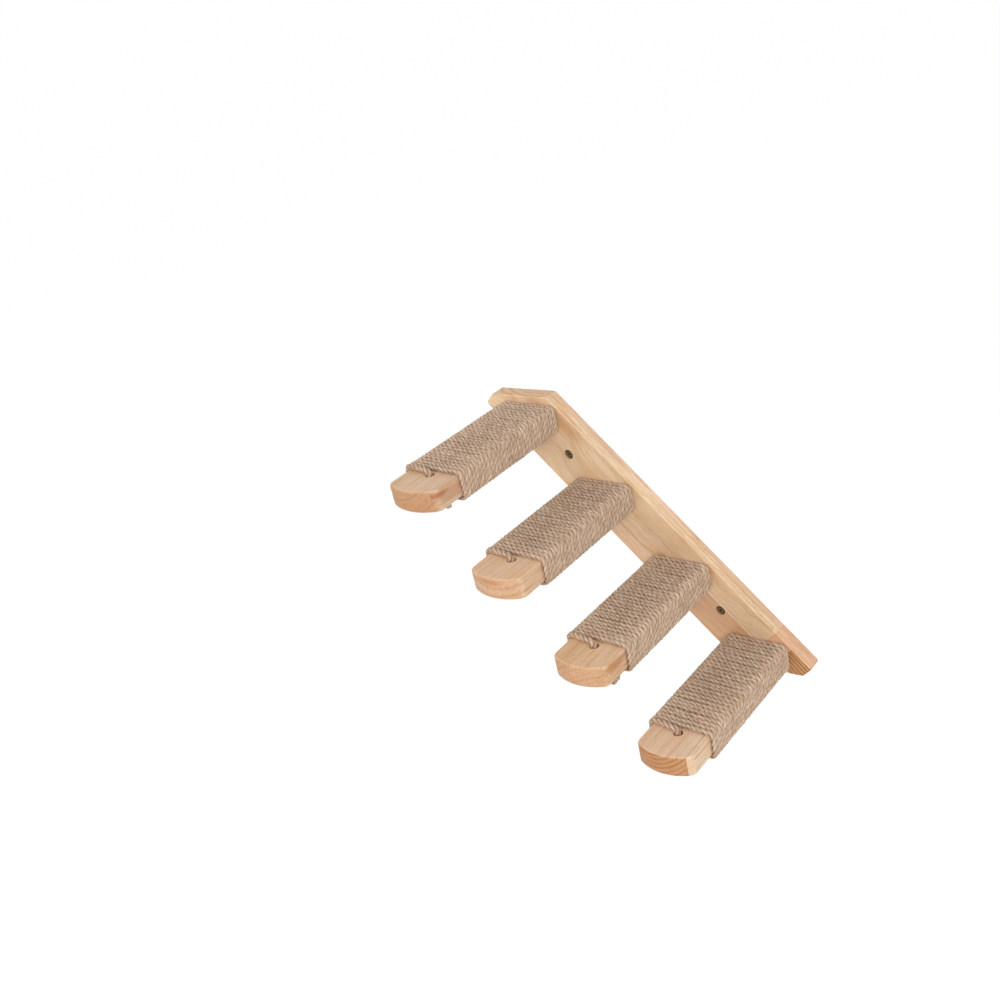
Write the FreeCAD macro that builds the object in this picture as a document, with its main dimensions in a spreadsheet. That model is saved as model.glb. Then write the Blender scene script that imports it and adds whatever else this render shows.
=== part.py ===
import FreeCAD, Part
import math
import os

import Sketcher
from FreeCAD import Placement, Rotation, Vector

# Wall-mounted cat ladder: a slanting backboard, four level steps wound with rope, and the
# fasteners that hold them. X runs right along the wall, Y into the wall and Z up. The origin
# is the centre of the board's back face, which lies on the wall at Y = 0.

# Driving sizes in millimetres, degrees and counts: alias, value, what it is
SIZES = (
    ("slant_angle", 45, "lean of the board from level"),
    ("board_length", 450, "board from end to end"),
    ("end_margin", 50, "end step's middle to the board's square end"),
    ("board_width", 70, "across the board"),
    ("board_thickness", 18, "wall to the board's front face"),
    ("corner_cut_length", 51, "sawn-off corner, along the board"),
    ("square_end", 16, "what the sawn-off corner leaves of the board's end"),
    ("board_corner_radius", 4, "rounded corners of the board's outline"),
    ("board_edge_radius", 1.5, "eased edges of the board's front"),
    ("step_width", 63, "across a step's plank"),
    ("step_thickness", 23, "height of a step's plank"),
    ("step_reach", 221, "wall to the tip of a step"),
    ("nose_radius", 54, "curve of a step's tip"),
    ("nose_corner_radius", 10, "rounding where the tip meets the sides"),
    ("step_edge_radius", 2.4, "eased edges of a step's plank"),
    ("rope_diameter", 5.2, "wound rope"),
    ("rope_gap", 0.2, "rope to wood"),
    ("rope_root_gap", 0.3, "first turn to the board"),
    ("rope_loops", 23, "full turns on a step, or fewer where they don't fit"),
    ("turn_gap", 0.6, "least gap between turns"),
    ("nose_bare", 44, "bare wood from the last full turn to the tip"),
    ("rope_hole_ahead", 6.8, "last full turn to the middle of the nose hole"),
    ("rope_hole_clearance", 1.9, "rope to the wall of the nose hole"),
    ("hole_mouth_radius", 1.5, "rounding of the nose hole's mouths"),
    ("rope_start", 22, "rope's glued end below the root, left of a step's middle"),
    ("tail_angle", 20, "turn of the rope's tail from the step's width"),
    ("tail_run_1", 35, "hole to the cut end of the tail under step 1"),
    ("tail_run_2", 24, "the same under step 2"),
    ("tail_run_3", 38, "the same under step 3"),
    ("tail_run_4", 25, "the same under step 4"),
    ("staple_wire", 1.2, "thickness of the staple's wire"),
    ("staple_leg", 9, "staple's leg inside the wood"),
    ("staple_bend_radius", 1.4, "staple's bends, on the wire's middle"),
    ("staple_place", 17, "hole to the staple, along the tail"),
    ("staple_gap", 0.2, "staple to rope"),
    ("leg_gap", 0.1, "staple's leg to the wood"),
    ("step_screw_spacing", 28, "between the two screws of a step"),
    ("step_screw_diameter", 4, "thread of a step screw"),
    ("step_screw_length", 45, "step screw, head to point"),
    ("step_screw_head", 8, "countersunk head across"),
    ("wall_screw_thread", 4.5, "thread of a wall screw"),
    ("wall_screw_shank", 4, "smooth shank below a wall screw's head"),
    ("wall_screw_length", 50, "wall screw, under the head to the point"),
    ("wall_screw_head", 10, "pan head across"),
    ("wall_head_height", 3, "pan head's height"),
    ("wall_head_rim", 1.1, "bevel round the pan head's top"),
    ("thread_start", 1, "wall screw's thread behind the board"),
    ("counterbore_depth", 4, "wall screw's head pocket, from the front"),
    ("counterbore_clearance", 0.6, "wall screw's head to its pocket"),
    ("screw_clearance", 0.3, "screw to its hole in the board"),
    ("seat_gap", 0.2, "countersunk head to its seat"),
    ("thread_gap", 0.1, "step screw to its hole in the plank"),
    ("pilot_spare", 2, "plank's screw hole past the point"),
    ("recess_arm", 2, "cross recess, middle to the end of an arm"),
    ("recess_half_width", 0.55, "cross recess, half an arm's width"),
    ("recess_depth", 1.6, "depth of the cross recess"),
)

STEPS = (1, 2, 3, 4)

# How close two places are taken to be the same, in millimetres
TOUCH = 1e-4

# Expressions used in more than one place
STEP_PITCH = f"((Sizes.board_length - 2 * Sizes.end_margin) / {len(STEPS) - 1})"
ROPE_END = "(Sizes.step_reach - Sizes.nose_bare)"
NOSE_HOLE = f"({ROPE_END} + Sizes.rope_hole_ahead)"
NOSE_BORE = "(Sizes.rope_diameter / 2 + Sizes.rope_hole_clearance)"

doc = FreeCAD.newDocument("cat_ladder")
sheet = doc.addObject("Spreadsheet::Sheet", "Sizes")
for row, (alias, number, note) in enumerate(SIZES, start=1):
    sheet.set(f"A{row}", note)
    sheet.set(f"B{row}", str(number))
    sheet.setAlias(f"B{row}", alias)
doc.recompute()


def value(expression):
    """Number that an expression on the sheet has now."""
    return float(sheet.evalExpression(expression))


def size(alias):
    """One size from the sheet."""
    return value(f"Sizes.{alias}")


# Helpers for bodies and sketches


def new_body(label):
    """Empty body whose label names its part."""
    body = doc.addObject("PartDesign::Body", label)
    body.Label = label
    return body


def new_sketch(body, role, name):
    """Sketch on one of the body's own base planes."""
    plane = [feature for feature in body.Origin.OriginFeatures if feature.Role == role][0]
    sketch = body.newObject("Sketcher::SketchObject", name)
    sketch.AttachmentSupport = [(plane, "")]
    sketch.MapMode = "FlatFace"
    return sketch


def lean(sketch):
    """Turn a sketch on the wall plane so that its first axis runs down the slant."""
    sketch.AttachmentOffset = Placement(Vector(), Rotation(Vector(0, 0, -1), size("slant_angle")))
    sketch.setExpression("AttachmentOffset.Rotation.Angle", "Sizes.slant_angle")


def fix_point(sketch, geometry, end, where):
    """Tie a point of the sketch to two expressions measured from its origin."""
    for kind, axis, expression in zip(("DistanceX", "DistanceY"), (-2, -1), where):
        if expression == "0":
            sketch.addConstraint(Sketcher.Constraint("PointOnObject", geometry, end, axis))
            continue
        amount = value(expression)
        index = sketch.addConstraint(Sketcher.Constraint(kind, -1, 1, geometry, end, amount))
        sketch.setExpression(f"Constraints[{index}]", expression)


def draw_polygon(sketch, corners):
    """Closed outline through corners that are pairs of expressions."""
    points = [Vector(value(x), value(y), 0) for x, y in corners]
    count = len(points)
    for i in range(count):
        sketch.addGeometry(Part.LineSegment(points[i], points[(i + 1) % count]), False)
    for i in range(count):
        sketch.addConstraint(Sketcher.Constraint("Coincident", i, 2, (i + 1) % count, 1))
    for i in range(count):
        fix_point(sketch, i, 1, corners[i])


def draw_circle(sketch, where, radius):
    """Circle whose middle and radius are expressions."""
    middle = Vector(value(where[0]), value(where[1]), 0)
    circle = Part.Circle(middle, Vector(0, 0, 1), value(radius))
    index = sketch.addGeometry(circle, False)
    fix_point(sketch, index, 3, where)
    bound = sketch.addConstraint(Sketcher.Constraint("Radius", index, value(radius)))
    sketch.setExpression(f"Constraints[{bound}]", radius)


def pad(body, sketch, name, length, symmetric=False):
    """Thicken a sketch into a solid."""
    feature = body.newObject("PartDesign::Pad", name)
    feature.Profile = sketch
    feature.Midplane = symmetric
    feature.setExpression("Length", length)
    doc.recompute()
    return feature


def pocket(body, sketch, name, length=None, forward=False, symmetric=False):
    """Cut a sketch into the body, right through where no length is given."""
    before = body.Shape.Volume
    feature = body.newObject("PartDesign::Pocket", name)
    feature.Profile = sketch
    feature.Reversed = forward
    feature.Midplane = symmetric
    if length is None:
        feature.Type = "ThroughAll"
    else:
        feature.setExpression("Length", length)
    doc.recompute()
    if body.Shape.Volume > before - 1e-6:
        raise RuntimeError(f"{body.Label}: {name} cut nothing")
    return feature


def dress(body, kind, name, base, chosen, amount):
    """Round or bevel the edges of base for which chosen holds."""
    edges = [f"Edge{i}" for i, edge in enumerate(base.Shape.Edges, start=1) if chosen(edge)]
    if not edges:
        raise RuntimeError(f"{body.Label}: {name} found no edge")
    feature = body.newObject(f"PartDesign::{kind}", name)
    feature.Base = (base, edges)
    feature.setExpression("Radius" if kind == "Fillet" else "Size", amount)
    doc.recompute()
    return feature


def is_rim(edge, radius, level, axis):
    """Whether an edge is a whole circle of this radius, at this level along an axis."""
    curve = edge.Curve
    if not isinstance(curve, Part.Circle) or abs(curve.Radius - radius) > TOUCH:
        return False
    return edge.isClosed() and abs(curve.Center[axis] - level) < TOUCH


def stand_at(item, along, shift="0", depth="0"):
    """Place an item by its distance down the slant, its shift to the right and its depth."""
    item.setExpression(".Placement.Base.x", f"({along}) * cos(Sizes.slant_angle) + ({shift})")
    item.setExpression(".Placement.Base.y", depth)
    item.setExpression(".Placement.Base.z", f"-({along}) * sin(Sizes.slant_angle)")


def step_along(step):
    """Expression for a step's place down the slant, from the board's middle."""
    return f"{step - (len(STEPS) + 1) / 2} * {STEP_PITCH}"


# Backboard


def make_backboard():
    """Board with two opposite corners sawn off, and holes for every screw."""
    body = new_body("backboard")
    end, side = "Sizes.board_length / 2", "Sizes.board_width / 2"
    outline = new_sketch(body, "XZ_Plane", "board_outline")
    lean(outline)
    draw_polygon(outline, (
        (f"-{end} + Sizes.corner_cut_length", side),
        (end, side),
        (end, f"{side} - Sizes.square_end"),
        (f"{end} - Sizes.corner_cut_length", f"-{side}"),
        (f"-{end}", f"-{side}"),
        (f"-{end}", f"Sizes.square_end - {side}"),
    ))
    blank = pad(body, outline, "board_blank", "Sizes.board_thickness")
    front = -size("board_thickness")
    corners = dress(body, "Fillet", "board_corners", blank,
                    lambda edge: edge.BoundBox.YMin < front + TOUCH and edge.BoundBox.YMax > -TOUCH,
                    "Sizes.board_corner_radius")
    dress(body, "Fillet", "board_easing", corners,
          lambda edge: edge.BoundBox.YMax < front + TOUCH, "Sizes.board_edge_radius")
    holes = new_sketch(body, "XZ_Plane", "wall_screw_holes")
    lean(holes)
    for sign in ("-", ""):
        draw_circle(holes, (f"{sign}{STEP_PITCH}", "0"),
                    "Sizes.wall_screw_thread / 2 + Sizes.screw_clearance")
    pocket(body, holes, "wall_screw_bores", forward=True)
    seats = new_sketch(body, "XZ_Plane", "wall_screw_seats")
    lean(seats)
    seats.setExpression("AttachmentOffset.Base.z",
                        "Sizes.board_thickness - Sizes.counterbore_depth")
    for sign in ("-", ""):
        draw_circle(seats, (f"{sign}{STEP_PITCH}", "0"),
                    "Sizes.wall_screw_head / 2 + Sizes.counterbore_clearance")
    pocket(body, seats, "wall_screw_counterbores", forward=True)
    bores = new_sketch(body, "XZ_Plane", "step_screw_holes")
    for step in STEPS:
        for sign in ("-", ""):
            draw_circle(bores, (
                f"{step_along(step)} * cos(Sizes.slant_angle) + {sign}Sizes.step_screw_spacing / 2",
                f"-({step_along(step)}) * sin(Sizes.slant_angle)",
            ), "Sizes.step_screw_diameter / 2 + Sizes.screw_clearance")
    drilled = pocket(body, bores, "step_screw_bores", forward=True)
    bore = size("step_screw_diameter") / 2 + size("screw_clearance")
    dress(body, "Chamfer", "step_screw_countersinks", drilled,
          lambda edge: is_rim(edge, bore, 0, 1),
          "Sizes.step_screw_head / 2 + 2 * Sizes.seat_gap"
          " - Sizes.step_screw_diameter / 2 - Sizes.screw_clearance")
    return body


# Step planks


def draw_plank_outline(sketch):
    """Straight sides from the board and a curved tip, seen from above."""
    half, root, radius = size("step_width") / 2, size("board_thickness"), size("nose_radius")
    middle = -size("step_reach") + radius
    opening = math.acos(half / radius)
    shoulder = middle - radius * math.sin(opening)
    left_root, right_root = Vector(-half, -root, 0), Vector(half, -root, 0)
    left_end, right_end = Vector(-half, shoulder, 0), Vector(half, shoulder, 0)
    tip = Part.Circle(Vector(0, middle, 0), Vector(0, 0, 1), radius)
    sketch.addGeometry(Part.LineSegment(left_root, right_root), False)
    sketch.addGeometry(Part.LineSegment(right_root, right_end), False)
    sketch.addGeometry(Part.ArcOfCircle(tip, math.pi + opening, 2 * math.pi - opening), False)
    sketch.addGeometry(Part.LineSegment(left_end, left_root), False)
    for joint in ((0, 2, 1, 1), (1, 2, 2, 2), (2, 1, 3, 1), (3, 2, 0, 1)):
        sketch.addConstraint(Sketcher.Constraint("Coincident", *joint))
    fix_point(sketch, 0, 1, ("-Sizes.step_width / 2", "-Sizes.board_thickness"))
    fix_point(sketch, 0, 2, ("Sizes.step_width / 2", "-Sizes.board_thickness"))
    for side in (1, 3):
        sketch.addConstraint(Sketcher.Constraint("Vertical", side))
    fix_point(sketch, 2, 3, ("0", "Sizes.nose_radius - Sizes.step_reach"))
    bound = sketch.addConstraint(Sketcher.Constraint("Radius", 2, radius))
    sketch.setExpression(f"Constraints[{bound}]", "Sizes.nose_radius")


def make_plank(step):
    """Plank with a rounded nose, its rope hole, and holes for screws and staple."""
    body = new_body(f"step_plank_{step}")
    outline = new_sketch(body, "XY_Plane", f"plank_outline_{step}")
    draw_plank_outline(outline)
    blank = pad(body, outline, f"plank_blank_{step}", "Sizes.step_thickness", symmetric=True)
    root, half = -size("board_thickness"), size("step_thickness") / 2
    rounded = dress(body, "Fillet", f"nose_corners_{step}", blank,
                    lambda edge: edge.BoundBox.ZLength > half and edge.BoundBox.YMax < root - TOUCH,
                    "Sizes.nose_corner_radius")
    dress(body, "Fillet", f"plank_easing_{step}", rounded,
          lambda edge: edge.BoundBox.ZLength < TOUCH and edge.BoundBox.YMin < root - TOUCH,
          "Sizes.step_edge_radius")
    add_rope_hole(body, step)
    add_staple_holes(body, step)
    pilots = new_sketch(body, "XZ_Plane", f"screw_pilots_{step}")
    pilots.setExpression("AttachmentOffset.Base.z", "Sizes.board_thickness")
    for sign in ("-", ""):
        draw_circle(pilots, (f"{sign}Sizes.step_screw_spacing / 2", "0"),
                    "Sizes.step_screw_diameter / 2 + Sizes.thread_gap")
    pocket(body, pilots, f"screw_pilot_holes_{step}",
           "Sizes.step_screw_length + Sizes.pilot_spare - Sizes.board_thickness", forward=True)
    stand_at(body, step_along(step))
    return body


def add_rope_hole(body, step):
    """Hole through the nose for the rope's tail, with rounded mouths."""
    half, hole = size("step_thickness") / 2, value(NOSE_BORE)
    through = new_sketch(body, "XY_Plane", f"nose_hole_{step}")
    draw_circle(through, ("0", f"-{NOSE_HOLE}"), NOSE_BORE)
    drilled = pocket(body, through, f"nose_bore_{step}", symmetric=True)
    dress(body, "Fillet", f"nose_hole_mouths_{step}", drilled,
          lambda edge: is_rim(edge, hole, half, 2) or is_rim(edge, hole, -half, 2),
          "Sizes.hole_mouth_radius")


# Rope


def staple_feet():
    """Expressions for the two places where the staple enters the plank."""
    reach = "(Sizes.rope_diameter / 2 + Sizes.staple_gap + Sizes.staple_wire / 2)"
    feet = []
    for sign in ("-", "+"):
        feet.append((
            f"Sizes.staple_place * cos(Sizes.tail_angle) {sign} {reach} * sin(Sizes.tail_angle)",
            f"-{NOSE_HOLE} - Sizes.staple_place * sin(Sizes.tail_angle)"
            f" {sign} {reach} * cos(Sizes.tail_angle)",
        ))
    return feet


def add_staple_holes(body, step):
    """Two small blind holes below for the staple's legs."""
    feet = new_sketch(body, "XY_Plane", f"staple_feet_{step}")
    feet.setExpression("AttachmentOffset.Base.z",
                       "Sizes.staple_leg + Sizes.leg_gap - Sizes.step_thickness / 2")
    for where in staple_feet():
        draw_circle(feet, where, "Sizes.staple_wire / 2 + Sizes.leg_gap")
    pocket(body, feet, f"staple_holes_{step}")


def rope_route(step):
    """Corners of the rope's middle line, each with its bend, in the step's own frame."""
    rope, gap = size("rope_diameter") / 2, size("rope_gap")
    side, level = size("step_width") / 2 + rope + gap, size("step_thickness") / 2 + rope + gap
    corner, bend = size("step_edge_radius") + rope + gap, value(f"{NOSE_BORE} + Sizes.hole_mouth_radius")
    offset, start = size("rope_start"), size("board_thickness") + size("rope_root_gap") + rope
    finish, first_run = value(ROPE_END) - rope, (side - offset) / (2 * side) / 2
    room = (finish - start) / (2 * rope + size("turn_gap")) + 0.5 - first_run
    loops = min(int(size("rope_loops")), int(room))
    pitch = (finish - start) / (loops - 0.5 + first_run)
    root = start + first_run * pitch
    route = [(Vector(-offset, -start, -level), 0)]
    for loop in range(loops):
        left, right = root + loop * pitch, root + (loop + 0.5) * pitch
        route.append((Vector(-side, -left, -level), corner))
        route.append((Vector(-side, -left, level), corner))
        route.append((Vector(side, -right, level), corner))
        route.append((Vector(side, -right, -level), corner))
    left, hole = root + loops * pitch, value(NOSE_HOLE)
    route.append((Vector(-side, -left, -level), corner))
    route.append((Vector(-side, -left, level), corner))
    route.append((Vector(0, -hole, level), bend))
    route.append((Vector(0, -hole, -level), bend))
    turn, run = math.radians(size("tail_angle")), size(f"tail_run_{step}")
    route.append((Vector(run * math.cos(turn), -hole - run * math.sin(turn), -level), 0))
    return route


def bent_path(route):
    """Straight runs and tangent arcs through a route of corners and bends."""
    edges = []
    last = route[0][0]
    for (before, _), (point, radius), (after, _) in zip(route, route[1:], route[2:]):
        back, ahead = (before - point).normalize(), (after - point).normalize()
        half_turn = (math.pi - back.getAngle(ahead)) / 2
        reach = radius * math.tan(half_turn)
        inward = (back + ahead).normalize()
        enter, leave = point + back * reach, point + ahead * reach
        middle = point + inward * (radius / math.cos(half_turn) - radius)
        edges.append(Part.LineSegment(last, enter).toShape())
        edges.append(Part.Arc(enter, middle, leave).toShape())
        last = leave
    edges.append(Part.LineSegment(last, route[-1][0]).toShape())
    return Part.Wire(edges)


def round_tube(path, radius):
    """Round tube along a path, tested by its volume."""
    first = path.Edges[0]
    start, along = first.valueAt(first.FirstParameter), first.tangentAt(first.FirstParameter)
    section = Part.Wire(Part.Circle(start, along, radius).toShape())
    tube = path.makePipeShell([section], True, False)
    expected = math.pi * radius**2 * path.Length
    if abs(tube.Volume - expected) > 0.01 * expected:
        raise RuntimeError(f"tube holds {tube.Volume:.1f} mm3, not {expected:.1f}")
    return tube


def least_gap(path, diameter):
    """Least clear distance between stretches of a tube that lie over half a turn apart."""
    points = path.discretize(Distance=1.5)
    spacing = path.Length / (len(points) - 1)
    girth = 2 * (size("step_width") + size("step_thickness"))
    near, far = int(girth / 2 / spacing), int(girth * 1.5 / spacing)
    nearest = min(
        (point - other).Length
        for i, point in enumerate(points)
        for other in points[i + near:i + far]
    )
    return nearest - diameter


def make_rope(step):
    """One rope from its glued end at the root, round the plank and through the nose."""
    diameter = size("rope_diameter")
    path = bent_path(rope_route(step))
    gap = least_gap(path, diameter)
    print(f"rope_winding_{step}: {path.Length:.0f} mm long, least gap to itself {gap:.2f} mm")
    if gap <= 0.4:
        raise RuntimeError(f"rope_winding_{step}: turns are too close")
    rope = doc.addObject("Part::Feature", f"rope_winding_{step}")
    rope.Label = f"rope_winding_{step}"
    rope.Shape = round_tube(path, diameter / 2)
    stand_at(rope, step_along(step))
    return rope


# Fasteners


def make_staple(step):
    """Wire staple that holds the rope's tail to the underside of the nose."""
    wire, rope = size("staple_wire") / 2, size("rope_diameter")
    under = size("step_thickness") / 2
    crown = -under - size("rope_gap") - rope - size("staple_gap") - wire
    top, bend = size("staple_leg") - under, size("staple_bend_radius")
    first, second = [Vector(value(x), value(y), 0) for x, y in staple_feet()]
    up, down = Vector(0, 0, top), Vector(0, 0, crown)
    path = bent_path([(first + up, 0), (first + down, bend), (second + down, bend), (second + up, 0)])
    staple = doc.addObject("Part::Feature", f"rope_staple_{step}")
    staple.Label = f"rope_staple_{step}"
    staple.Shape = round_tube(path, wire)
    stand_at(staple, step_along(step))
    return staple


def make_screw(label, profile):
    """Screw turned from a profile of radius and depth, with a cross recess in its head."""
    body = new_body(label)
    half = new_sketch(body, "XY_Plane", f"{label}_profile")
    draw_polygon(half, profile)
    turned = body.newObject("PartDesign::Revolution", f"{label}_turning")
    turned.Profile = half
    turned.ReferenceAxis = (half, ["V_Axis"])
    turned.Angle = 360
    doc.recompute()
    arm, thin = "Sizes.recess_arm", "Sizes.recess_half_width"
    cross = new_sketch(body, "XZ_Plane", f"{label}_cross")
    draw_polygon(cross, (
        (thin, arm), (thin, thin), (arm, thin), (arm, f"-{thin}"),
        (thin, f"-{thin}"), (thin, f"-{arm}"), (f"-{thin}", f"-{arm}"), (f"-{thin}", f"-{thin}"),
        (f"-{arm}", f"-{thin}"), (f"-{arm}", thin), (f"-{thin}", thin), (f"-{thin}", arm),
    ))
    pocket(body, cross, f"{label}_recess", "Sizes.recess_depth", forward=True)
    return body


def make_step_screw(step, side):
    """Countersunk screw through the board's back into a step."""
    head, thread = "Sizes.step_screw_head / 2", "Sizes.step_screw_diameter / 2"
    length = "Sizes.step_screw_length"
    screw = make_screw(f"step_screw_{step}_{side}", (
        ("0", "0"),
        (head, "0"),
        (thread, f"{thread} - {head}"),
        (thread, f"Sizes.step_screw_diameter - {length}"),
        ("0", f"-{length}"),
    ))
    sign = "-" if side == "left" else ""
    stand_at(screw, step_along(step), f"{sign}Sizes.step_screw_spacing / 2", "-Sizes.seat_gap")
    return screw


def make_wall_screw(place, along):
    """Pan-head screw through the board into the wall."""
    head, height = "Sizes.wall_screw_head / 2", "Sizes.wall_head_height"
    shank, thread = "Sizes.wall_screw_shank / 2", "Sizes.wall_screw_thread / 2"
    plain = f"-{height} - Sizes.board_thickness + Sizes.counterbore_depth - Sizes.thread_start"
    length = f"-{height} - Sizes.wall_screw_length"
    screw = make_screw(f"wall_screw_{place}", (
        ("0", "0"),
        (f"{head} - Sizes.wall_head_rim", "0"),
        (head, "-Sizes.wall_head_rim"),
        (head, f"-{height}"),
        (shank, f"-{height}"),
        (shank, plain),
        (thread, plain),
        (thread, f"{length} + Sizes.wall_screw_thread"),
        ("0", length),
    ))
    screw.Placement = Placement(Vector(), Rotation(Vector(0, 0, 1), 180))
    stand_at(screw, along, depth=f"Sizes.counterbore_depth - Sizes.board_thickness - {height}")
    return screw


# Build, test and write


def build():
    """Every piece of the ladder."""
    pieces = [make_backboard()]
    for step in STEPS:
        pieces.append(make_plank(step))
        pieces.append(make_rope(step))
        pieces.append(make_staple(step))
        for side in ("left", "right"):
            pieces.append(make_step_screw(step, side))
    pieces.append(make_wall_screw("upper", f"-{STEP_PITCH}"))
    pieces.append(make_wall_screw("lower", STEP_PITCH))
    doc.recompute()
    return pieces


def check(pieces):
    """Stop if any object failed or any piece has no sound solid."""
    for item in doc.Objects:
        if "Invalid" in item.State or "Error" in item.State:
            raise RuntimeError(f"{item.Label}: {item.State}")
    for piece in pieces:
        shape = piece.Shape
        if shape.isNull() or not shape.isValid() or len(shape.Solids) != 1:
            raise RuntimeError(f"{piece.Label}: its shape isn't one sound solid")


def write(pieces):
    """One STEP file for each piece, named after it."""
    os.makedirs("parts", exist_ok=True)
    for piece in pieces:
        piece.Shape.exportStep(f"parts/{piece.Label}.step")
        box = piece.Shape.BoundBox
        print(f"{piece.Label}: {piece.Shape.Volume:.0f} mm3,"
              f" {box.XLength:.1f} x {box.YLength:.1f} x {box.ZLength:.1f} mm")


ladder = build()
check(ladder)
write(ladder)
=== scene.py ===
# %% [markdown]
# A cat ladder for a wall: a slanting board with four level steps, each step
# a plank bound with rope except at its rounded nose. The wood and the metal
# were modelled as solids, in metres, and this file dresses them: it winds
# the rope with its three strands, gives every surface its finish, and sets
# the camera, the floor and the light.

import math

import bpy
import numpy as np
from mathutils import Matrix, Vector


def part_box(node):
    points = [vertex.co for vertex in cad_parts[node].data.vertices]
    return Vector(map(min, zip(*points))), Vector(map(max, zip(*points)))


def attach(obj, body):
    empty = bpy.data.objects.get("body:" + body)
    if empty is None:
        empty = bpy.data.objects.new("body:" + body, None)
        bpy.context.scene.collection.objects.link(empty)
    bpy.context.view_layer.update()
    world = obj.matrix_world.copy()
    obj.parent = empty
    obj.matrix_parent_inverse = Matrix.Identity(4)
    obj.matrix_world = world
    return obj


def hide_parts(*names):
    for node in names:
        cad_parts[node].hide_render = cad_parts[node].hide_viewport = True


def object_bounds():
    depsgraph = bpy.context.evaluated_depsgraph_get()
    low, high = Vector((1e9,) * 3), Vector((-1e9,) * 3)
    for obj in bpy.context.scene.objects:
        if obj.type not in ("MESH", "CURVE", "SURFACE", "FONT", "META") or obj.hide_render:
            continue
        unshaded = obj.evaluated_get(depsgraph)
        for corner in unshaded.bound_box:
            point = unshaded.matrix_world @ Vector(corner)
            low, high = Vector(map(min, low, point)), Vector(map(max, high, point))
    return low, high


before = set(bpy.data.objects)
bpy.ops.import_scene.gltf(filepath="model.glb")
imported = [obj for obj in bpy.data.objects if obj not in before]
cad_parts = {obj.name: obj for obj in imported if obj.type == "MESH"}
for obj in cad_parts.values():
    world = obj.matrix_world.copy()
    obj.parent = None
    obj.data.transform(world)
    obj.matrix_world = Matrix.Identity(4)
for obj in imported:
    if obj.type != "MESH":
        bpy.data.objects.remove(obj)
solid_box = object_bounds()
bpy.ops.object.select_all(action="DESELECT")
print("solids loaded:", len(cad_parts))

# %% [markdown]
# The picture this ladder is matched to was taken from the right and a little
# above. The place and the lens come from a fit to the ladder's edges, so the
# camera gets a whole matrix and not a target to look at. The shift moves the
# ladder to its place in the square picture without turning the camera.

# %% Camera
bpy.ops.object.camera_add()
camera = bpy.context.object
camera.name = "picture_camera"
camera.matrix_world = Matrix((
    (0.804482, -0.159498, 0.572162, 0.68511),
    (0.567121, 0.492632, -0.660067, -0.93803),
    (-0.176586, 0.855497, 0.486768, 0.61532),
    (0, 0, 0, 1)))
camera.data.sensor_width = 36
camera.data.lens = 43.65
camera.data.shift_x = -0.0701
camera.data.shift_y = 0.0659
bpy.context.scene.camera = camera
bpy.context.scene.view_settings.view_transform = "Standard"
print("camera at", tuple(round(v, 3) for v in camera.location))

# %% [markdown]
# The rope is one length on each step. It starts under the root of the plank,
# goes round and round towards the nose, and then runs across to a hole, down
# through it and along the underside. A winding could be a stack of rings,
# but rings never meet at a slant the way one rope does. So the route is a
# single spline with a few points for every turn: the four corners of the
# wound section, and two points on each run between them, close enough to the
# corners for the rope to bend round the wood's edge without cutting into it.
# The first turns lie flat against the board, and the later ones at a slant.
# No hand winds evenly, so the points on the runs are a little loose.

# %% Winding of the rope
MM = 0.001
ROPE_WIDE = 6.25 * MM
ROPE_THICK = 5.1 * MM
WOOD_GAP = 0.1 * MM
BEND_RUN = 12 * MM
TURNS = 28
FIRST_TURN = 21.5 * MM
LAST_TURN = 178.6 * MM
START_LEFT = 4 * MM
START_GAPS = (0.6 * MM, 0.2 * MM)
FLAT_PART, FLAT_TURNS = 0.36, 4
SIDE_SLACK, TOP_SLACK, LOW_SLACK = 0.12 * MM, 0.42 * MM, 0.16 * MM


def wound_section(step):
    """Middle of a plank's section, and how far out the rope's middle lies."""
    low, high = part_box(f"step_plank_{step}")
    lift = ROPE_THICK / 2 + WOOD_GAP
    middle = (low + high) / 2
    return middle.x, middle.z, (high.x - low.x) / 2 + lift, (high.z - low.z) / 2 + lift


def winding(step, lead):
    """Leads the rope from its start under the root to the end of its last turn."""
    wide, high = wound_section(step)[2:]
    in_x, in_z = wide - BEND_RUN, high - BEND_RUN
    bend = BEND_RUN / (2 * wide)
    pitch = (LAST_TURN - FIRST_TURN) / TURNS
    lead(-START_LEFT, FIRST_TURN + START_GAPS[0], -high)
    lead(-in_x, FIRST_TURN + START_GAPS[1], -high)
    lead(-wide, FIRST_TURN, -high)
    for turn in range(TURNS):
        left = FIRST_TURN + turn * pitch
        right = left + pitch * (0.5 - FLAT_PART * math.exp(-turn / FLAT_TURNS))
        after = left + pitch
        over, under = (right - left) * bend, (after - right) * bend
        lead(-wide, left, -in_z, SIDE_SLACK)
        lead(-wide, left, in_z, SIDE_SLACK)
        lead(-wide, left, high)
        lead(-in_x, left + over, high, TOP_SLACK)
        lead(in_x, right - over, high, TOP_SLACK)
        lead(wide, right, high)
        lead(wide, right, in_z, SIDE_SLACK)
        lead(wide, right, -in_z, SIDE_SLACK)
        lead(wide, right, -high)
        lead(in_x, right + under, -high, LOW_SLACK)
        lead(-in_x, after - under, -high, LOW_SLACK)
        lead(-wide, after, -high)
    lead(-wide, LAST_TURN, -in_z)
    lead(-wide, LAST_TURN, in_z)
    lead(-wide, LAST_TURN, high)


print("turns on a step:", TURNS, "and", round((LAST_TURN - FIRST_TURN) / TURNS / MM, 2), "mm each")

# %% [markdown]
# The tail is not under tension, so it is round, a little thicker than the
# wound rope and not pressed on the wood. It runs across the nose to the hole,
# bends down through it, and ends under the nose, on two of the steps far
# enough to the right for its end to show below the wood's edge.

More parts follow.
